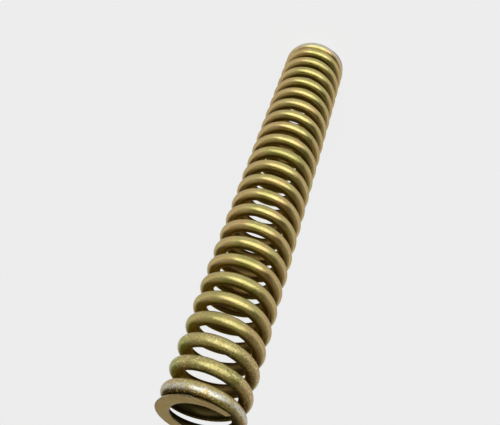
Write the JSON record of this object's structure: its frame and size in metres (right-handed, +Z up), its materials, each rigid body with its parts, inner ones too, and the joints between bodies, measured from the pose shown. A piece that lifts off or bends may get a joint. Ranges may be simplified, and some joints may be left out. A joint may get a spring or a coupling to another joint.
{
  "type": "gear assist spring",
  "caption": "Left-hand helical compression spring of round steel wire with closed, ground ends and a gold passivated finish, made to push back along a guide rod.",
  "frame": {"origin": "centre of the ground base, on the coil axis", "axes": "+Z up the coil axis; the wire starts at the base on +X and turns clockwise, seen from above, as it climbs"},
  "size_m": [0.0254, 0.0254, 0.168],
  "materials": {
    "plated_wire": "satin gold passivated zinc plating, worn silver at the ends"
  },
  "bodies": {
    "root": {"coil_spring": "plated_wire"}
  },
  "joints": []
}
